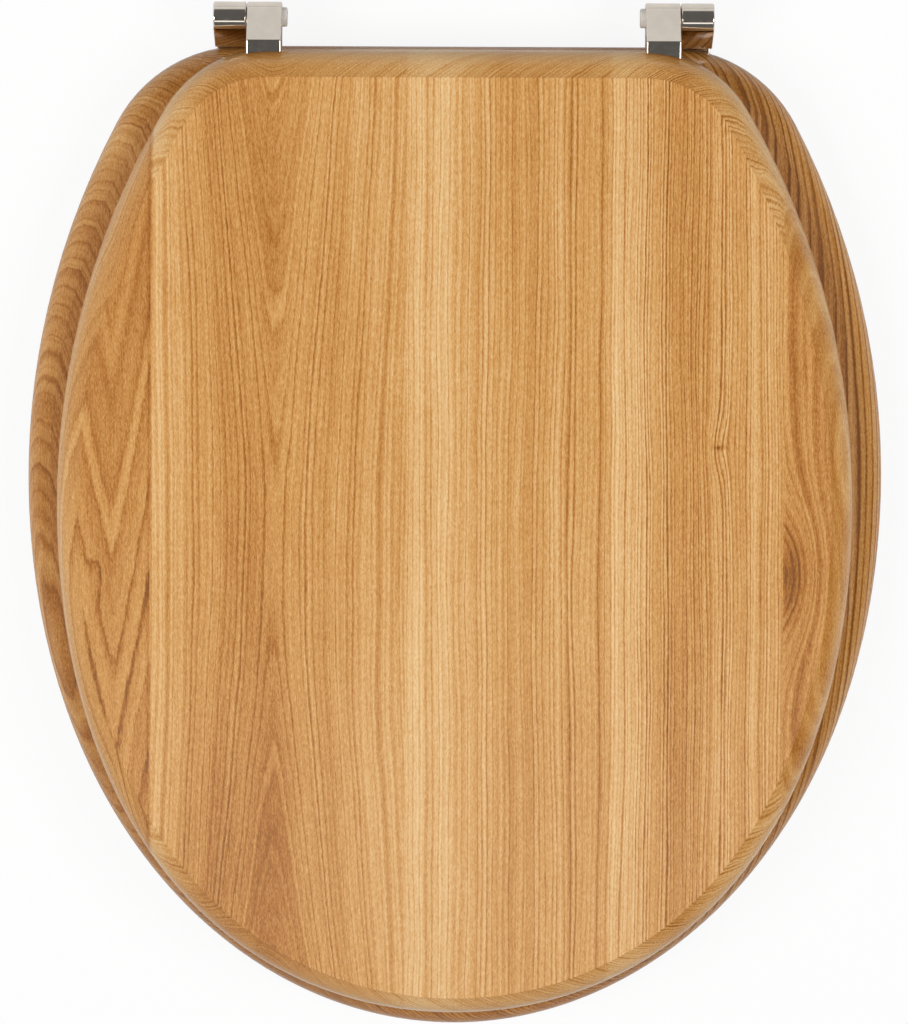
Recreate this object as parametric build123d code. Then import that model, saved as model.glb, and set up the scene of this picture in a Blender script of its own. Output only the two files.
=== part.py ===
from build123d import *
import os
from math import acos, atan2, cos, degrees, sin, sqrt

# Driving dimensions, in millimetres and degrees.
# The back of the seat is +Y, its top is +Z, and the buffers stand on Z = 0.

# Seat ring: a glued-up wooden board, egg-shaped, with a bevelled edge rounded into its side
SEAT_WIDTH = 375.6
SEAT_LENGTH = 442.2
SEAT_WIDEST = 195.5  # from the back edge to the widest line
SEAT_FRONT_FULLNESS = 0.515  # how squarely the front starts, 0 to 1
SEAT_FLANK_FULLNESS = 0.613  # how squarely the front quarter meets the side
SEAT_SIDE_RADIUS = 343.0
SEAT_CORNER_RADIUS = 62.8
SEAT_THICKNESS = 19.0
SEAT_BEVEL_WIDTH = 10.0
SEAT_BEVEL_DROP = 4.5
SEAT_SHOULDER_ROUND = 9.0  # where the bevel turns down into the side
SEAT_BOTTOM_ROUND = 6.0

# Hole in the ring
HOLE_WIDTH = 212.0
HOLE_LENGTH = 272.0
HOLE_FRONT_WOOD = 72.0  # wood left in front of the hole
HOLE_WIDEST = 128.0  # from the hole's back to its widest line
HOLE_FRONT_FULLNESS = 0.54
HOLE_BACK_FULLNESS = 0.58
HOLE_TOP_ROUND = 9.5

# Lid: a thinner board, set in from the seat's edge
LID_SIDE_INSET = 14.2
LID_FRONT_INSET = 12.75
LID_BACK_OVERHANG = 1.6  # the lid's back edge stands this far behind the seat's
LID_WIDEST_SETBACK = 7.7  # the lid's widest line is this far in front of the seat's
LID_FRONT_FULLNESS = 0.54
LID_FLANK_FULLNESS = 0.66
LID_SIDE_RADIUS = 353.0
LID_CORNER_RADIUS = 52.0
LID_THICKNESS = 18.0
LID_BEVEL_WIDTH = 10.0
LID_BEVEL_DROP = 5.0
LID_SHOULDER_ROUND = 11.5
LID_BOTTOM_ROUND = 3.0

# Buffers
SEAT_BUFFER_LENGTH = 32.0
SEAT_BUFFER_WIDTH = 15.0
SEAT_BUFFER_HEIGHT = 12.0
SEAT_BUFFER_TAPER = 6.0
SEAT_BUFFER_ROUND = 2.0
FRONT_BUFFER_SETBACK = 30.0  # behind the front of the hole
FRONT_BUFFER_TURN = 52.0
REAR_BUFFER_SETBACK = 78.0  # in front of the seat's back edge
REAR_BUFFER_SPREAD = 14.0  # outside the line of the hole's side
REAR_BUFFER_TURN = 100.0
LID_BUFFER_DIAMETER = 16.0
LID_BUFFER_ROUND = 1.2
LID_GAP = 6.0  # between the seat's top and the lid's underside
REST_CLEARANCE = 0.2

# Hinges: two cast leaves side by side on one bush at each hinge
HINGE_SPACING = 185.3  # between the middle planes of the two hinges
HINGE_SHIFT = 3.0  # the pair sits a little to the right of the wood's middle
AXIS_BEHIND_SEAT = 14.6
AXIS_HEIGHT = 35.0
KNUCKLE_RADIUS = 6.5
SEAT_KNUCKLE_LENGTH = 14.0
LID_KNUCKLE_LENGTH = 14.8
KNUCKLE_GAP = 0.4
KNUCKLE_END_WALL = 2.0
LEAF_THICKNESS = 3.0
LEAF_LENGTH = 44.0  # in front of the wood's back edge
LEAF_END_ROUND = 5.0
CAST_EDGE_ROUND = 0.6
CREST_AHEAD = 8.0  # from the pivot axis to the crest of the lid's leaf
CREST_HEIGHT = 15.5  # above the pivot axis
CREST_ROUND = 0.8
WOOD_CLEARANCE = 0.15
NECK_CLEARANCE = 0.6  # between the seat's back edge and the neck of its leaf
NECK_THICKNESS = 4.6
NECK_TOP_DROP = 9.0  # the neck's front corner is this far below the pivot axis
NECK_HEEL_ROUND = 3.5

# Bushes
BUSH_DIAMETER = 8.3
BUSH_BORE = 6.0
BUSH_PROUD = 2.3
BUSH_RUNNING_CLEARANCE = 0.05
BUSH_END_PLAY = 0.2
BUSH_CHAMFER = 0.4

# Countersunk wood screws
SCREW_HEAD_DIAMETER = 7.6
SCREW_SHANK_DIAMETER = 3.8
SCREW_POINT = 3.0
SCREW_CLEARANCE = 0.05
RECESS_LENGTH = 4.2
RECESS_WIDTH = 0.9
RECESS_DEPTH = 1.1
HINGE_SCREW_LENGTH = 15.0
HINGE_SCREW_FIRST = 13.0  # from the wood's back edge
HINGE_SCREW_PITCH = 21.0
SEAT_BUFFER_SCREW_LENGTH = 20.0
SEAT_BUFFER_HEAD_DEPTH = 5.0
LID_BUFFER_SCREW_LENGTH = 14.0
LID_BUFFER_HEAD_DEPTH = 1.5
HEAD_WELL_CLEARANCE = 0.4

# Places that follow from the sizes above; the whole length is centred on Y = 0
OVERALL_LENGTH = SEAT_LENGTH + AXIS_BEHIND_SEAT + KNUCKLE_RADIUS
SEAT_FRONT = -OVERALL_LENGTH / 2
SEAT_BACK = SEAT_FRONT + SEAT_LENGTH
AXIS_Y = SEAT_BACK + AXIS_BEHIND_SEAT
SEAT_UNDERSIDE = SEAT_BUFFER_HEIGHT
SEAT_TOP = SEAT_UNDERSIDE + SEAT_THICKNESS
LID_UNDERSIDE = SEAT_TOP + LID_GAP
LID_BACK = SEAT_BACK + LID_BACK_OVERHANG
HOLE_BACK = SEAT_FRONT + HOLE_FRONT_WOOD + HOLE_LENGTH
SIDES = {"left": -1, "right": 1}


def quarter(half_width, tip_y, widest_y, tip_fullness, flank_fullness):
    """One quarter of an egg: from the tip on the middle line to the widest point."""
    tip_handle = (tip_fullness * half_width, tip_y)
    flank_handle = (half_width, widest_y + flank_fullness * (tip_y - widest_y))
    return Bezier((0, tip_y), tip_handle, flank_handle, (half_width, widest_y))


def both_halves(half):
    """The face inside a half outline and its mirror image."""
    return make_face(half + mirror(half, about=Plane.YZ))


def board_outline(width, length, widest, front_fullness, flank_fullness, side_radius, corner_radius):
    """Egg outline with a flat back on Y = 0: a round front, long side arcs and two back corners."""
    half_width = width / 2
    reach = side_radius - corner_radius
    rise = widest - corner_radius
    corner_x = half_width - side_radius + sqrt(reach**2 - rise**2)
    side_turn = degrees(atan2(rise, corner_x - half_width + side_radius))
    half = Curve() + [
        quarter(half_width, -length, -widest, front_fullness, flank_fullness),
        CenterArc((half_width - side_radius, -widest), side_radius, 0, side_turn),
        CenterArc((corner_x, -corner_radius), corner_radius, side_turn, 90 - side_turn),
        Line((corner_x, 0), (0, 0)),
    ]
    return both_halves(half)


def hole_outline():
    """Egg outline of the ring's hole, with its back at Y = 0."""
    half_width = HOLE_WIDTH / 2
    half = Curve() + [
        quarter(half_width, -HOLE_LENGTH, -HOLE_WIDEST, HOLE_FRONT_FULLNESS, HOLE_FRONT_FULLNESS),
        quarter(half_width, 0, -HOLE_WIDEST, HOLE_BACK_FULLNESS, HOLE_BACK_FULLNESS),
    ]
    return both_halves(half)


def top_edges(solid):
    return solid.edges().group_by(Axis.Z)[-1]


def routed_board(outline, thickness, bevel_width, bevel_drop, shoulder_round):
    """A board standing on its outline, its top edge bevelled and the bevel rounded into the side."""
    board = extrude(outline, thickness)
    top = board.faces().sort_by(Axis.Z)[-1]
    board = chamfer(top_edges(board), bevel_width, bevel_drop, reference=top)
    shoulder_z = top.center().Z - bevel_drop
    shoulder = [edge for edge in board.edges() if abs(edge.center().Z - shoulder_z) < bevel_drop / 100]
    return fillet(shoulder, shoulder_round)


def bottom_edges(solid):
    return solid.edges().group_by(Axis.Z)[0]


def screw_profile(length, grow):
    """A countersunk screw standing on its head at Z = 0, point up, grown by a clearance."""
    head = SCREW_HEAD_DIAMETER / 2 + grow
    shank = SCREW_SHANK_DIAMETER / 2 + grow
    shoulder = head - shank
    section = Polyline(
        (0, 0), (head, 0), (shank, shoulder), (shank, length - SCREW_POINT), (0, length + grow), close=True
    )
    return revolve(make_face(Plane.XZ * section), Axis.Z)


def screw(length):
    recess = Box(RECESS_LENGTH, RECESS_WIDTH, 2 * RECESS_DEPTH)
    return screw_profile(length, 0) - recess - Rot(0, 0, 90) * recess


def screw_hole(length, well_depth=0):
    """The room for a screw, with a straight well below its head where the head is sunk."""
    hole = screw_profile(length, SCREW_CLEARANCE)
    if well_depth:
        radius = SCREW_HEAD_DIAMETER / 2 + HEAD_WELL_CLEARANCE
        hole += Cylinder(radius, well_depth, align=(Align.CENTER, Align.CENTER, Align.MAX))
    return hole


def hinge_x(side):
    """The middle plane of a hinge, between its two knuckles."""
    return HINGE_SHIFT + side * HINGE_SPACING / 2


def seat_leaf_x(side):
    return hinge_x(side) + side * (KNUCKLE_GAP + SEAT_KNUCKLE_LENGTH) / 2


def lid_leaf_x(side):
    return hinge_x(side) - side * (KNUCKLE_GAP + LID_KNUCKLE_LENGTH) / 2


def hinge_screw_places(x, wood_back, z):
    rows = (HINGE_SCREW_FIRST, HINGE_SCREW_FIRST + HINGE_SCREW_PITCH)
    return [Pos(x, wood_back - row, z) for row in rows]


def seat_hinge_screw_places(side):
    return hinge_screw_places(seat_leaf_x(side), SEAT_BACK, SEAT_UNDERSIDE - LEAF_THICKNESS)


def lid_hinge_screw_places(side):
    return hinge_screw_places(lid_leaf_x(side), LID_BACK, LID_UNDERSIDE - LEAF_THICKNESS)


def seat_buffer_places():
    """Each seat buffer's name and its place, turned to lie along the ring."""
    front = SEAT_FRONT + HOLE_FRONT_WOOD + FRONT_BUFFER_SETBACK
    rear = SEAT_BACK - REAR_BUFFER_SETBACK
    places = {}
    for name, side in SIDES.items():
        front_x = side * HOLE_WIDTH / 2
        rear_x = side * (HOLE_WIDTH / 2 + REAR_BUFFER_SPREAD)
        places[f"seat_buffer_front_{name}"] = Pos(front_x, front) * Rot(0, 0, side * FRONT_BUFFER_TURN)
        places[f"seat_buffer_rear_{name}"] = Pos(rear_x, rear) * Rot(0, 0, side * REAR_BUFFER_TURN)
    return places


def lid_buffer_places():
    """Each lid buffer's name and its place under the lid."""
    front = SEAT_FRONT + HOLE_FRONT_WOOD + FRONT_BUFFER_SETBACK
    return {
        f"lid_buffer_{name}": Pos(side * HOLE_WIDTH / 2, front, LID_UNDERSIDE)
        for name, side in SIDES.items()
    }


def seat_ring():
    outline = board_outline(
        SEAT_WIDTH,
        SEAT_LENGTH,
        SEAT_WIDEST,
        SEAT_FRONT_FULLNESS,
        SEAT_FLANK_FULLNESS,
        SEAT_SIDE_RADIUS,
        SEAT_CORNER_RADIUS,
    )
    ring = routed_board(
        Pos(0, SEAT_BACK, SEAT_UNDERSIDE) * outline,
        SEAT_THICKNESS,
        SEAT_BEVEL_WIDTH,
        SEAT_BEVEL_DROP,
        SEAT_SHOULDER_ROUND,
    )
    ring -= extrude(Pos(0, HOLE_BACK, SEAT_UNDERSIDE) * hole_outline(), SEAT_THICKNESS)
    hole_rim = ring.faces().sort_by(Axis.Z)[-1].inner_wires()[0]
    ring = fillet(hole_rim.edges(), HOLE_TOP_ROUND)
    ring = fillet(bottom_edges(ring), SEAT_BOTTOM_ROUND)
    for side in SIDES.values():
        for place in seat_hinge_screw_places(side):
            ring -= place * screw_hole(HINGE_SCREW_LENGTH)
    for place in seat_buffer_places().values():
        ring -= place * Pos(0, 0, SEAT_BUFFER_HEAD_DEPTH) * screw_hole(SEAT_BUFFER_SCREW_LENGTH)
    return ring


def lid_outline(grow=0):
    """The lid's outline on its underside; grown, it is the room that the hinge leaves keep clear of."""
    outline = board_outline(
        SEAT_WIDTH - 2 * LID_SIDE_INSET + 2 * grow,
        SEAT_LENGTH - LID_FRONT_INSET + LID_BACK_OVERHANG + 2 * grow,
        SEAT_WIDEST + LID_BACK_OVERHANG + LID_WIDEST_SETBACK + grow,
        LID_FRONT_FULLNESS,
        LID_FLANK_FULLNESS,
        LID_SIDE_RADIUS + grow,
        LID_CORNER_RADIUS + grow,
    )
    return Pos(0, LID_BACK + grow, LID_UNDERSIDE) * outline


def lid():
    board = routed_board(lid_outline(), LID_THICKNESS, LID_BEVEL_WIDTH, LID_BEVEL_DROP, LID_SHOULDER_ROUND)
    board = fillet(bottom_edges(board), LID_BOTTOM_ROUND)
    for side in SIDES.values():
        for place in lid_hinge_screw_places(side):
            board -= place * screw_hole(HINGE_SCREW_LENGTH)
    for place in lid_buffer_places().values():
        head = LID_BUFFER_HEAD_DEPTH - LID_GAP + REST_CLEARANCE
        board -= place * Pos(0, 0, head) * screw_hole(LID_BUFFER_SCREW_LENGTH)
    return board


def tangent_from(point, turn):
    """Where a straight line from a point outside the knuckle touches it, on the side given by turn."""
    along = point[0] - AXIS_Y
    up = point[1] - AXIS_HEIGHT
    angle = atan2(up, along) + turn * acos(KNUCKLE_RADIUS / sqrt(along**2 + up**2))
    return (AXIS_Y + KNUCKLE_RADIUS * cos(angle), AXIS_HEIGHT + KNUCKLE_RADIUS * sin(angle))


def knuckle_disc():
    return Pos(AXIS_Y, AXIS_HEIGHT) * Circle(KNUCKLE_RADIUS)


def cast_leaf(profile, x, width):
    """A leaf cast to a side profile, with a rounded end under the wood and softened edges."""
    leaf = extrude(Plane.YZ.offset(x - width / 2) * profile, width)
    end_corners = leaf.edges().filter_by(Axis.Z).group_by(Axis.Y)[0]
    leaf = fillet(end_corners, LEAF_END_ROUND)
    flanks = leaf.faces().filter_by(Axis.X).edges()
    return fillet(flanks, CAST_EDGE_ROUND)


def bush_room(x_from, x_to):
    """The bore for the bush, between two places along the pivot axis."""
    radius = BUSH_DIAMETER / 2 + BUSH_RUNNING_CLEARANCE
    along_x = Pos((x_from + x_to) / 2, AXIS_Y, AXIS_HEIGHT) * Rot(0, 90, 0)
    return along_x * Cylinder(radius, abs(x_to - x_from))


def seat_hinge(side):
    """Outer leaf: the barrel, a neck down behind the seat's edge, and the plate under the seat."""
    neck_front = SEAT_BACK + NECK_CLEARANCE
    neck_back = neck_front + NECK_THICKNESS
    neck_top = (neck_front, AXIS_HEIGHT - NECK_TOP_DROP)
    plate_end = SEAT_BACK - LEAF_LENGTH
    plate_bottom = SEAT_UNDERSIDE - LEAF_THICKNESS
    heel = (neck_back, plate_bottom)
    outline = Polyline(
        tangent_from(neck_top, -1),
        neck_top,
        (neck_front, SEAT_UNDERSIDE),
        (plate_end, SEAT_UNDERSIDE),
        (plate_end, plate_bottom),
        heel,
        tangent_from(heel, 1),
        (AXIS_Y, AXIS_HEIGHT),
        close=True,
    )
    profile = make_face(outline)
    heel_corner = profile.vertices().sort_by_distance(Vector(*heel))[0]
    profile = fillet(heel_corner, NECK_HEEL_ROUND) + knuckle_disc()
    x = seat_leaf_x(side)
    leaf = cast_leaf(profile, x, SEAT_KNUCKLE_LENGTH)
    inner_end = x - side * SEAT_KNUCKLE_LENGTH / 2
    blind_end = inner_end + side * (SEAT_KNUCKLE_LENGTH - KNUCKLE_END_WALL)
    leaf -= bush_room(inner_end - side * KNUCKLE_GAP, blind_end)
    for place in seat_hinge_screw_places(side):
        leaf -= place * screw_hole(HINGE_SCREW_LENGTH)
    return leaf


def lid_hinge(side):
    """Inner leaf: the barrel, a shoulder that rises behind the lid's curved edge, and the plate under the lid."""
    crest = (AXIS_Y - CREST_AHEAD, AXIS_HEIGHT + CREST_HEIGHT)
    plate_end = LID_BACK - LEAF_LENGTH
    plate_bottom = LID_UNDERSIDE - LEAF_THICKNESS
    throat = (AXIS_Y - 2 * KNUCKLE_RADIUS, plate_bottom)
    outline = Polyline(
        tangent_from(crest, -1),
        crest,
        (plate_end, crest[1]),
        (plate_end, plate_bottom),
        throat,
        tangent_from(throat, 1),
        (AXIS_Y, AXIS_HEIGHT),
        close=True,
    )
    profile = make_face(outline)
    crest_corner = profile.vertices().sort_by_distance(Vector(*crest))[0]
    profile = fillet(crest_corner, CREST_ROUND) + knuckle_disc()
    x = lid_leaf_x(side)
    leaf = cast_leaf(profile, x, LID_KNUCKLE_LENGTH)
    leaf -= extrude(lid_outline(WOOD_CLEARANCE), LID_THICKNESS)
    reach = LID_KNUCKLE_LENGTH / 2 + KNUCKLE_GAP
    leaf -= bush_room(x - reach, x + reach)
    for place in lid_hinge_screw_places(side):
        leaf -= place * screw_hole(HINGE_SCREW_LENGTH)
    return leaf


def hinge_bush(side):
    """Nylon sleeve through the lid's knuckle and into the seat's, proud on its inner end."""
    lid_end = lid_leaf_x(side) - side * LID_KNUCKLE_LENGTH / 2
    inner_end = lid_end - side * BUSH_PROUD
    blind_end = seat_leaf_x(side) + side * (SEAT_KNUCKLE_LENGTH / 2 - KNUCKLE_END_WALL)
    outer_end = blind_end - side * BUSH_END_PLAY
    length = abs(outer_end - inner_end)
    sleeve = Cylinder(BUSH_DIAMETER / 2, length)
    sleeve = chamfer(top_edges(sleeve) + bottom_edges(sleeve), BUSH_CHAMFER)
    sleeve -= Cylinder(BUSH_BORE / 2, length)
    return Pos((inner_end + outer_end) / 2, AXIS_Y, AXIS_HEIGHT) * Rot(0, 90, 0) * sleeve


def seat_buffer(place):
    """Moulded pad, widest against the wood, with a sunk screw."""
    plan = Pos(0, 0, SEAT_BUFFER_HEIGHT) * SlotOverall(SEAT_BUFFER_LENGTH, SEAT_BUFFER_WIDTH)
    pad = extrude(plan, -SEAT_BUFFER_HEIGHT, taper=SEAT_BUFFER_TAPER)
    pad = fillet(bottom_edges(pad), SEAT_BUFFER_ROUND)
    well = screw_hole(SEAT_BUFFER_SCREW_LENGTH, SEAT_BUFFER_HEAD_DEPTH)
    return place * (pad - Pos(0, 0, SEAT_BUFFER_HEAD_DEPTH) * well)


def lid_buffer(place):
    """Round pad under the lid that comes to rest on the seat."""
    height = LID_GAP - REST_CLEARANCE
    pad = Cylinder(LID_BUFFER_DIAMETER / 2, height, align=(Align.CENTER, Align.CENTER, Align.MAX))
    pad = fillet(bottom_edges(pad), LID_BUFFER_ROUND)
    well = screw_hole(LID_BUFFER_SCREW_LENGTH, LID_BUFFER_HEAD_DEPTH)
    return place * (pad - Pos(0, 0, LID_BUFFER_HEAD_DEPTH - height) * well)


def screws_at(places, length):
    return Compound(children=[place * screw(length) for place in places])


def all_pieces():
    """Every piece by its name."""
    pieces = {"seat_ring": seat_ring(), "lid": lid()}
    for name, side in SIDES.items():
        pieces[f"seat_hinge_{name}"] = seat_hinge(side)
        pieces[f"lid_hinge_{name}"] = lid_hinge(side)
        pieces[f"hinge_bush_{name}"] = hinge_bush(side)
        pieces[f"seat_hinge_screws_{name}"] = screws_at(seat_hinge_screw_places(side), HINGE_SCREW_LENGTH)
        pieces[f"lid_hinge_screws_{name}"] = screws_at(lid_hinge_screw_places(side), HINGE_SCREW_LENGTH)
    for name, place in seat_buffer_places().items():
        pieces[name] = seat_buffer(place)
    for name, place in lid_buffer_places().items():
        pieces[name] = lid_buffer(place)
    seat_heads = [place * Pos(0, 0, SEAT_BUFFER_HEAD_DEPTH) for place in seat_buffer_places().values()]
    lid_head = LID_BUFFER_HEAD_DEPTH - LID_GAP + REST_CLEARANCE
    lid_heads = [place * Pos(0, 0, lid_head) for place in lid_buffer_places().values()]
    pieces["seat_buffer_screws"] = screws_at(seat_heads, SEAT_BUFFER_SCREW_LENGTH)
    pieces["lid_buffer_screws"] = screws_at(lid_heads, LID_BUFFER_SCREW_LENGTH)
    return pieces


os.makedirs("parts", exist_ok=True)
for node, piece in all_pieces().items():
    export_step(piece, f"parts/{node}.step")
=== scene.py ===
from math import radians

import bpy
from mathutils import Matrix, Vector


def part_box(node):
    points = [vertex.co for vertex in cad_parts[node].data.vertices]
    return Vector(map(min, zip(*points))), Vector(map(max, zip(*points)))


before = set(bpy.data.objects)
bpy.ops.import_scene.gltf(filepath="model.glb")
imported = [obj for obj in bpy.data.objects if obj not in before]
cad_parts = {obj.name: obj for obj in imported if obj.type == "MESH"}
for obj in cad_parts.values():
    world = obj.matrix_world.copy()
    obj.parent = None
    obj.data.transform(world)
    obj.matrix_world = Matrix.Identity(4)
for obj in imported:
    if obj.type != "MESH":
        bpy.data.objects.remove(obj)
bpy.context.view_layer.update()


# Seat ring: an egg-shaped ring of four elm staves glued edge to edge, which run from front to back.
# Its top edge is bevelled and rounded by a router, then it is sanded and sprayed with a satin lacquer.
# The lacquer leaves the grain clear on the flats and puts a soft sheen on the rounded shoulders,
# partly as painted sheen: the colour is made paler down the bevel.

MM = 1000.0  # millimetres in a metre
LATEWOOD = "#7e4a17"
HEARTWOOD = "#ab6a24"
TAN = "#d19a56"
SAPWOOD = "#ebc791"
END_GRAIN = "#96703f"
END_GRAIN_SHARE = 0.35  # how far a cut end takes the end grain's colour
END_DARKENING = 0.13
BEVEL_FOOT = 6.0  # mm below the top, where the painted sheen on the edge is at its palest
# Painted sheen: how much paler the colour grows from the top down to the bevel's foot.
PAINTED_SHEEN_AMOUNT = 0.22
STAVE_TAPER = 0.00011  # the joints draw together toward the back, per mm
TONE_SPAN = 400.0  # mm from left to right that a board's tones are laid over


def linear(colour):
    """An sRGB hex colour as linear RGBA."""
    channels = [int(colour[i:i + 2], 16) / 255 for i in (1, 3, 5)]
    return [c / 12.92 if c <= 0.04045 else ((c + 0.055) / 1.055) ** 2.4 for c in channels] + [1]


def grey(value):
    """A linear grey as RGBA."""
    return [value, value, value, 1]


def add(tree, kind, *sources, stops=None, **settings):
    """Adds a shader node. Sources fill its live inputs in order, and settings are its properties or named
    inputs. A node or socket given for an input is linked to it, and stops fill a colour ramp."""
    node = tree.nodes.new("ShaderNode" + kind)
    named = {}
    for name, value in settings.items():
        if hasattr(node, name):
            setattr(node, name, value)
        else:
            named[name.replace("_", " ")] = value
    live = [socket for socket in node.inputs if socket.enabled]
    pairs = list(zip(live, sources)) + [(node.inputs[name], value) for name, value in named.items()]
    for socket, source in pairs:
        if isinstance(source, bpy.types.Node):
            source = next(output for output in source.outputs if output.enabled)
        if isinstance(source, bpy.types.NodeSocket):
            tree.links.new(source, socket)
        else:
            socket.default_value = source
    if stops:
        elements = node.color_ramp.elements
        while len(elements) < len(stops):
            elements.new(0.5)
        for element, (place, colour) in zip(elements, stops):
            element.position = place
            element.color = colour
    return node


def new_material(name):
    """An empty material and its node tree."""
    material = bpy.data.materials.new(name)
    material.use_nodes = True
    material.node_tree.nodes.clear()
    return material, material.node_tree


def dress(material, *names):
    """Puts one material on CAD nodes."""
    for name in names:
        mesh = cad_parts[name].data
        mesh.materials.clear()
        mesh.materials.append(material)


def stave(heart, pitch, lean=3.0, crown=0.0, lift=0.0, bow=0.0, reach=20.0, ripple=0.1, strength=1.0):
    """One stave's growth rings: the place of its heart line and the width of a year, in mm, how they bend,
    how unevenly they were grown, and how strong their dark lines are. elm_board says how each is used."""
    return dict(heart=heart, pitch=pitch, lean=lean, crown=crown, lift=lift, bow=bow, reach=reach,
                ripple=ripple, strength=strength)


def knot_and_sheen_spot(in_stave, x, y, wide, long, bend=0.0, dark=0.0):
    """A soft oval spot in one stave, counted from the left, with its sizes in mm. It bends the rings, and it
    darkens the wood like a knot or, where dark is below zero, pales it as a painted sheen."""
    return dict(in_stave=in_stave, x=x, y=y, wide=wide, long=long, bend=bend, dark=dark)


def elm_board(name, top_mm, joints, staves, tones, knots_and_sheen_spots, edge_fade):
    """Lacquered elm in staves, drawn as growth rings cut by the board's own surface, with all sizes in mm.
    A ring's place is its distance from the stave's heart line, rounded off by crown, less lean times the
    depth below the top. Near the heart, within reach, lift times the length and bow times its square bend
    the rings into arches, and knots push them aside. The place over the pitch counts years, and each year is
    pale past its middle and dark where it meets the next, with a weight of its own.
    Tones are the ground at places from left to right, 0 for latewood to 1 for sapwood. Edge_fade is the share
    of the lines' strength that is lost on the bevel. The pores are drawn coarser than real ones, to show."""
    material, tree = new_material(name)
    sources = add(tree, "TexCoord").outputs
    place = add(tree, "VectorMath", sources["Object"], Scale=MM, operation="SCALE")
    x, y, z = add(tree, "SeparateXYZ", place).outputs
    end_grain = add(tree, "SeparateXYZ", sources["Normal"]).outputs["Y"]
    end_grain = add(tree, "Math", end_grain, operation="ABSOLUTE")
    widening = add(tree, "Math", y, STAVE_TAPER, 1.0, operation="MULTIPLY_ADD")
    across = add(tree, "Math", x, widening, operation="MULTIPLY")
    depth = add(tree, "Math", top_mm, z, operation="SUBTRACT")
    past = [add(tree, "Math", across, joint, operation="GREATER_THAN") for joint in joints]

    def by_stave(*keys):
        """Three sizes of the stave that a point is in."""
        rows = [[sizes[key] for key in keys] for sizes in staves]
        value = rows[0]
        for mask, row, before in zip(past, rows[1:], rows):
            step = [a - b for a, b in zip(row, before)]
            value = add(tree, "VectorMath", mask, step, value, operation="MULTIPLY_ADD")
        return add(tree, "SeparateXYZ", value).outputs

    def noise(size, least, most):
        """Noise whose lumps have a size in mm along X, Y and Z, spread from least to most."""
        scaled = add(tree, "VectorMath", place, [1 / length for length in size], operation="MULTIPLY")
        lumps = add(tree, "TexNoise", scaled, Scale=1.0, Detail=2.0, Roughness=0.6)
        return add(tree, "MapRange", lumps, 0.25, 0.75, least, most, clamp=False)

    wander = noise((45.0, 260.0, 45.0), -2.5, 2.5)
    sway = noise((3.0, 45.0, 3.0), -0.35, 0.35)
    crinkle = noise((0.7, 4.5, 0.7), -1.0, 1.0)
    broken = noise((0.8, 18.0, 0.8), 0.6, 1.4)
    cloud = noise((20.0, 130.0, 20.0), -0.07, 0.07)
    fibre = noise((0.5, 30.0, 0.5), -0.08, 0.08)
    pores = noise((0.4, 1.6, 0.4), -0.2, 0.2)

    heart, pitch, lean = by_stave("heart", "pitch", "lean")
    crown, lift, bow = by_stave("crown", "lift", "bow")
    reach, ripple, strength = by_stave("reach", "ripple", "strength")
    off_heart = add(tree, "Math", across, heart, operation="SUBTRACT")
    off_heart = add(tree, "Math", off_heart, wander, operation="ADD")
    crown_squared = add(tree, "Math", crown, crown, operation="MULTIPLY")
    ring = add(tree, "Math", off_heart, off_heart, crown_squared, operation="MULTIPLY_ADD")
    ring = add(tree, "Math", ring, operation="SQRT")
    lean_back = add(tree, "Math", depth, lean, operation="MULTIPLY")
    ring = add(tree, "Math", ring, lean_back, operation="SUBTRACT")
    reach_squared = add(tree, "Math", reach, reach, operation="MULTIPLY")
    near = add(tree, "Math", off_heart, off_heart, reach_squared, operation="MULTIPLY_ADD")
    near = add(tree, "Math", reach_squared, near, operation="DIVIDE")
    climb = add(tree, "Math", y, bow, lift, operation="MULTIPLY_ADD")
    climb = add(tree, "Math", climb, y, operation="MULTIPLY")
    ring = add(tree, "Math", climb, near, ring, operation="MULTIPLY_ADD")
    ring = add(tree, "Math", sway, ring, operation="ADD")
    ring = add(tree, "Math", crinkle, ripple, ring, operation="MULTIPLY_ADD")

    stain_and_sheen = 0.0
    for spot in knots_and_sheen_spots:
        offset = add(tree, "VectorMath", place, [spot["x"], spot["y"], top_mm], operation="SUBTRACT")
        flattened = [1 / spot["wide"], 1 / spot["long"], 0]
        offset = add(tree, "VectorMath", offset, flattened, operation="MULTIPLY")
        spread = add(tree, "VectorMath", offset, offset, operation="DOT_PRODUCT").outputs["Value"]
        spread = add(tree, "Math", spread, -1.0, operation="MULTIPLY")
        swell = add(tree, "Math", spread, operation="EXPONENT")
        if spot["in_stave"] > 0:
            swell = add(tree, "Math", swell, past[spot["in_stave"] - 1], operation="MULTIPLY")
        if spot["in_stave"] < len(joints):
            before = add(tree, "Math", 1.0, past[spot["in_stave"]], operation="SUBTRACT")
            swell = add(tree, "Math", swell, before, operation="MULTIPLY")
        ring = add(tree, "Math", swell, spot["bend"], ring, operation="MULTIPLY_ADD")
        core = add(tree, "Math", swell, 4.0, operation="POWER")
        stain_and_sheen = add(tree, "Math", core, spot["dark"], stain_and_sheen, operation="MULTIPLY_ADD")

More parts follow.
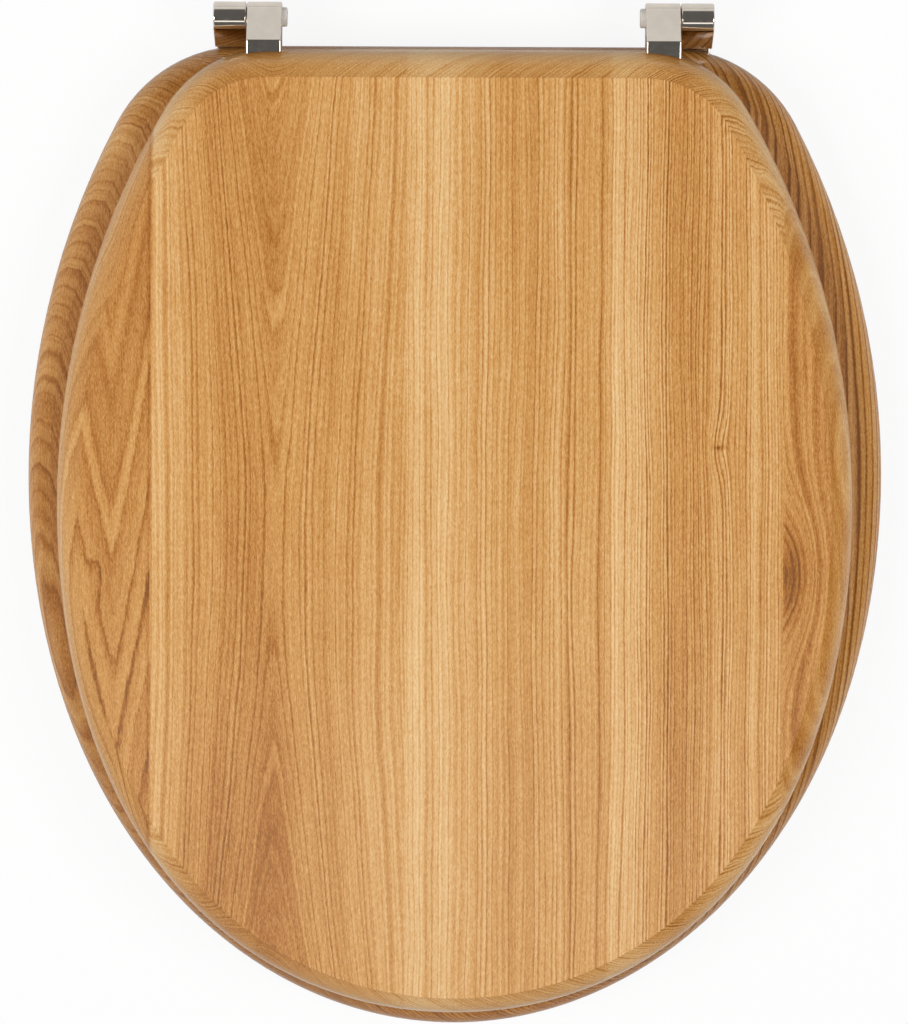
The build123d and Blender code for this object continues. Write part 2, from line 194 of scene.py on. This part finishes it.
    phase = add(tree, "Math", ring, pitch, operation="DIVIDE")
    jitter = add(tree, "TexNoise", noise_dimensions="1D", W=phase, Scale=0.8, Detail=1.0)
    phase = add(tree, "Math", jitter, 0.9, phase, operation="MULTIPLY_ADD")
    season = add(tree, "Math", phase, operation="FRACT")
    year = add(tree, "Math", phase, operation="FLOOR")
    vigour = add(tree, "TexWhiteNoise", noise_dimensions="1D", W=year).outputs["Value"]
    line = add(tree, "ValToRGB", season, stops=[
        (0.0, grey(0.0)), (0.1, grey(0.15)), (0.3, grey(0.6)),
        (0.6, grey(0.75)), (0.86, grey(0.7)), (1.0, grey(0.0))])
    line = add(tree, "MapRange", line, 0.0, 1.0, -0.55, 0.45)
    weight = add(tree, "MapRange", vigour, 0.0, 1.0, 0.08, 0.4)
    weight = add(tree, "Math", weight, broken, operation="MULTIPLY")
    weight = add(tree, "Math", weight, strength, operation="MULTIPLY")
    kept = add(tree, "MapRange", depth, 0.0, BEVEL_FOOT, 1.0, 1.0 - edge_fade)
    weight = add(tree, "Math", weight, kept, operation="MULTIPLY")

    share = add(tree, "MapRange", across, -TONE_SPAN / 2, TONE_SPAN / 2, 0.0, 1.0)
    tone = add(tree, "ValToRGB", share, stops=[(0.5 + at / TONE_SPAN, grey(ground)) for at, ground in tones])
    tone = add(tree, "Math", line, weight, tone, operation="MULTIPLY_ADD")
    # Spots with dark above zero darken the wood like knots; those below zero are painted sheen.
    tone = add(tree, "Math", tone, stain_and_sheen, operation="SUBTRACT")
    tone = add(tree, "Math", end_grain, -END_DARKENING, tone, operation="MULTIPLY_ADD")
    # Painted sheen: the colour grows paler down the bevel, in place of light off the lacquer.
    painted_edge_sheen = add(tree, "MapRange", depth, 0.0, BEVEL_FOOT, 0.0, PAINTED_SHEEN_AMOUNT)
    tone = add(tree, "Math", tone, painted_edge_sheen, operation="ADD")
    for bands_a_year, contrast in ((0.4, 0.08), (2.4, 0.1)):
        band = add(tree, "TexNoise", noise_dimensions="1D", W=phase, Scale=bands_a_year, Detail=2.0)
        band = add(tree, "MapRange", band, 0.25, 0.75, -contrast, contrast, clamp=False)
        tone = add(tree, "Math", tone, band, operation="ADD")
    for grain in (cloud, fibre, pores):
        tone = add(tree, "Math", tone, grain, operation="ADD")
    wood = add(tree, "ValToRGB", tone, stops=[
        (0.0, linear(LATEWOOD)), (0.25, linear(HEARTWOOD)), (0.6, linear(TAN)), (1.0, linear(SAPWOOD))])
    cut_ends = add(tree, "Math", end_grain, END_GRAIN_SHARE, operation="MULTIPLY")
    wood = add(tree, "Mix", cut_ends, wood, linear(END_GRAIN), data_type="RGBA")

    raised = add(tree, "Bump", Strength=0.05, Distance=0.0002, Height=fibre)
    shader = add(tree, "BsdfPrincipled", wood, Specular_IOR_Level=0.0, Normal=raised, Coat_Weight=1.0,
                 Coat_Roughness=0.22, Coat_IOR=1.55)
    add(tree, "OutputMaterial", shader)
    return material


seat_wood = elm_board(
    "elm_staves_satin_lacquer_seat",
    top_mm=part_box("seat_ring")[1].z * MM,
    joints=[-112.0, -8.0, 96.0],
    staves=[
        stave(100.0, 4.6, lean=2.0, lift=-0.3, bow=-0.0006, reach=2000.0, strength=1.2),
        stave(-80.0, 2.4, lean=2.6, crown=8.0, lift=0.05, strength=2.2),
        stave(-260.0, 3.0, lean=2.5, strength=2.2),
        stave(300.0, 5.0, lean=1.5, strength=3.4),
    ],
    tones=[(-190.0, 0.31), (-60.0, 0.22), (60.0, 0.22), (190.0, 0.33)],
    # This broad pale spot at the back left is a painted sheen, not a knot.
    knots_and_sheen_spots=[knot_and_sheen_spot(0, -150.0, 175.0, wide=70.0, long=90.0, dark=-0.2)],
    edge_fade=0.0)
dress(seat_wood, "seat_ring")


# Lid: five elm staves glued edge to edge, cut to the seat's shape but smaller, with the same bevelled edge.
# The staves were cut at different angles to the rings, so some show pointed arches and some straight lines.
# It has the seat's satin lacquer, and a knot on the right that the rings run round.

lid_wood = elm_board(
    "elm_staves_satin_lacquer_lid",
    top_mm=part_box("lid")[1].z * MM,
    joints=[-132.4, -21.2, 67.7, 142.7],
    staves=[
        stave(-149.0, 7.5, lean=4.0, crown=1.2, lift=-0.19, reach=200.0, ripple=0.7, strength=1.5),
        stave(-78.0, 2.6, crown=5.0, bow=-0.0005, reach=32.0, ripple=0.25, strength=1.0),
        stave(-220.0, 2.5, ripple=0.08, strength=1.5),
        stave(-160.0, 1.6, ripple=0.12, strength=2.1),
        stave(60.0, 5.0, lean=1.0, ripple=0.3, strength=0.9),
    ],
    tones=[
        (-175.0, 0.42), (-133.5, 0.42), (-132.7, 0.2),
        (-132.0, 0.76), (-128.0, 0.7), (-124.0, 0.61), (-105.0, 0.5), (-82.0, 0.4), (-62.0, 0.54),
        (-22.0, 0.64),
        (-20.5, 0.74), (-14.0, 0.8), (-4.0, 0.78), (8.0, 0.66), (20.0, 0.55), (40.0, 0.59), (66.5, 0.58),
        (68.5, 0.74), (80.0, 0.7), (98.0, 0.42), (115.0, 0.6), (142.0, 0.6),
        (143.5, 0.45), (175.0, 0.42),
    ],
    knots_and_sheen_spots=[
        knot_and_sheen_spot(4, 143.0, -15.0, wide=18.0, long=32.0, bend=-26.0, dark=0.35),
        knot_and_sheen_spot(3, 114.0, 42.0, wide=5.0, long=12.0, bend=2.5),
        knot_and_sheen_spot(3, 114.0, 42.0, wide=5.0, long=2.0, dark=0.45),
        knot_and_sheen_spot(0, -155.0, -15.0, wide=3.0, long=9.0, bend=5.0, dark=0.1),
        knot_and_sheen_spot(1, -95.0, -150.0, wide=70.0, long=150.0, dark=0.12),
    ],
    edge_fade=0.5)
dress(lid_wood, "lid")


# Hinge leaves: zinc castings, polished and nickel plated, two to a hinge and screwed under the wood.
# The plating gives them a clear mirror with a slightly warm cast and a few rubbed marks.

RUB_MARK = 2.5  # mm
PLATE_CLOUD = 8.0  # mm
nickel, tree = new_material("nickel_plated_zinc")
place = add(tree, "TexCoord").outputs["Object"]
rub = add(tree, "TexNoise", place, Scale=MM / RUB_MARK, Detail=4.0)
rub = add(tree, "MapRange", rub, 0.4, 0.7, 0.06, 0.14)
plate = add(tree, "TexNoise", place, Scale=MM / PLATE_CLOUD, Detail=3.0)
plate = add(tree, "ValToRGB", plate, stops=[(0.3, linear("#d7cdc1")), (0.7, linear("#e1d7cb"))])
shader = add(tree, "BsdfPrincipled", plate, Metallic=1.0, Roughness=rub)
add(tree, "OutputMaterial", shader)
dress(nickel, "seat_hinge_left", "seat_hinge_right", "lid_hinge_left", "lid_hinge_right")


# Bushes: moulded nylon sleeves that run through both leaves of a hinge, which turns on them.
# Natural nylon is milky and takes a soft shine.

NYLON_CLOUD = 4.0  # mm
nylon, tree = new_material("natural_nylon")
place = add(tree, "TexCoord").outputs["Object"]
cloud = add(tree, "TexNoise", place, Scale=MM / NYLON_CLOUD, Detail=3.0)
cloud = add(tree, "ValToRGB", cloud, stops=[(0.3, linear("#d5cfc6")), (0.7, linear("#e2ddd6"))])
shader = add(tree, "BsdfPrincipled", cloud, Roughness=0.45, IOR=1.53)
add(tree, "OutputMaterial", shader)
dress(nylon, "hinge_bush_left", "hinge_bush_right")


# Buffers: moulded rubber pads, each screwed to the underside of the seat or the lid.
# Grey rubber is matt and picks up a little dust.

DUST_PATCH = 4.0  # mm
rubber, tree = new_material("grey_moulded_rubber")
place = add(tree, "TexCoord").outputs["Object"]
dust = add(tree, "TexNoise", place, Scale=MM / DUST_PATCH, Detail=4.0)
dust = add(tree, "ValToRGB", dust, stops=[(0.35, linear("#b9b3a8")), (0.7, linear("#cac5bb"))])
shader = add(tree, "BsdfPrincipled", dust, Roughness=0.65, IOR=1.52)
add(tree, "OutputMaterial", shader)
dress(rubber, *[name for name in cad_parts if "buffer" in name and "screws" not in name])


# Screws: countersunk wood screws of zinc plated steel, driven up through the leaves and the buffers.
# Zinc plating is a soft grey metal with a fine bright grain.

PLATE_GRAIN = 1.0  # mm
PLATE_PATCH = 2.0  # mm
zinc, tree = new_material("zinc_plated_steel")
place = add(tree, "TexCoord").outputs["Object"]
grain = add(tree, "TexNoise", place, Scale=MM / PLATE_GRAIN, Detail=3.0)
grain = add(tree, "MapRange", grain, 0.3, 0.7, 0.25, 0.45)
plate = add(tree, "TexNoise", place, Scale=MM / PLATE_PATCH, Detail=3.0)
plate = add(tree, "ValToRGB", plate, stops=[(0.3, linear("#abaaa6")), (0.7, linear("#bdbcb8"))])
shader = add(tree, "BsdfPrincipled", plate, Metallic=1.0, Roughness=grain)
add(tree, "OutputMaterial", shader)
dress(zinc, *[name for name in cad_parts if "screws" in name])


# Floor: a plain sheet of white paper under the object, three metres to each side.
# The camera sees nine tenths of it as pure white, so only a faint contact shadow is left.

FLOOR_HALF = 3.0
PURE_WHITE_SHARE = 0.9
corners = [(x * FLOOR_HALF, y * FLOOR_HALF, 0) for x, y in ((-1, -1), (1, -1), (1, 1), (-1, 1))]
floor_mesh = bpy.data.meshes.new("floor")
floor_mesh.from_pydata(corners, [], [(0, 1, 2, 3)])
floor = bpy.data.objects.new("floor", floor_mesh)
bpy.context.scene.collection.objects.link(floor)
paper, tree = new_material("white_paper")
matt = add(tree, "BsdfDiffuse", linear("#ececec"))
white = add(tree, "Emission", linear("#ffffff"), 1.0)
path = add(tree, "LightPath")
share = add(tree, "Math", path.outputs["Is Camera Ray"], PURE_WHITE_SHARE, operation="MULTIPLY")
add(tree, "OutputMaterial", add(tree, "MixShader", share, matt, white))
floor_mesh.materials.append(paper)


# Light: a white room with a dark ceiling and a taller wall on the left, which lacquer and plating reflect.
# Two softboxes hang left and right, clear of what the flat wood mirrors, and a weak strip lights the front.

LEFT_WALL_RISE = 0.22
LIT_POINT = (0.0, 0.0, 0.03)
world = bpy.data.worlds.new("studio")
bpy.context.scene.world = world
world.use_nodes = True
tree = world.node_tree
tree.nodes.clear()
direction = add(tree, "TexCoord").outputs["Generated"]
across, _, up = add(tree, "SeparateXYZ", direction).outputs
height = add(tree, "Math", across, LEFT_WALL_RISE, up, operation="MULTIPLY_ADD")
walls = add(tree, "ValToRGB", height, stops=[
    (0.0, grey(0.87)), (0.34, grey(0.81)), (0.44, grey(0.14)), (1.0, grey(0.12))])
path = add(tree, "LightPath")
room = add(tree, "Mix", path.outputs["Is Glossy Ray"], grey(0.2), walls, data_type="RGBA")
seen = add(tree, "Mix", path.outputs["Is Camera Ray"], room, grey(1.0), data_type="RGBA")
add(tree, "OutputWorld", add(tree, "Background", seen, 1.0))


def softbox(name, width, height, power, place):
    """A rectangular area light at a place, turned to face the object."""
    data = bpy.data.lights.new(name, "AREA")
    data.shape = "RECTANGLE"
    data.size = width
    data.size_y = height
    data.energy = power
    lamp = bpy.data.objects.new(name, data)
    lamp.location = place
    toward = Vector(LIT_POINT) - Vector(place)
    lamp.rotation_euler = toward.to_track_quat("-Z", "Y").to_euler()
    bpy.context.scene.collection.objects.link(lamp)


softbox("left_softbox", 0.6, 0.8, 18.3, (-0.95, 0.1, 1.6))
softbox("right_softbox", 0.6, 0.8, 15.2, (0.95, 0.1, 1.6))
softbox("front_strip", 1.6, 0.36, 2.4, (0.0, -0.75, 1.9))


# Camera: above the closed lid and tilted 13 degrees toward the hinges, as the photograph was taken.
# It stands two metres off with a long lens, so the sides stay almost parallel.

CAMERA_DISTANCE = 2.0
CAMERA_TILT = radians(13.0)
CAMERA_ROLL = radians(0.24)
CAMERA_AIM = Vector((-0.0003, 0.00725, 0.030))
camera_data = bpy.data.cameras.new("camera")
camera_data.sensor_width = 36.0
camera_data.lens = 160.13
camera = bpy.data.objects.new("camera", camera_data)
turn = Matrix.Rotation(-CAMERA_TILT, 3, "X") @ Matrix.Rotation(CAMERA_ROLL, 3, "Z")
camera.rotation_euler = turn.to_euler()
camera.location = CAMERA_AIM + turn @ Vector((0.0, 0.0, CAMERA_DISTANCE))
bpy.context.scene.collection.objects.link(camera)
bpy.context.scene.camera = camera

bpy.context.scene.view_settings.view_transform = "Standard"
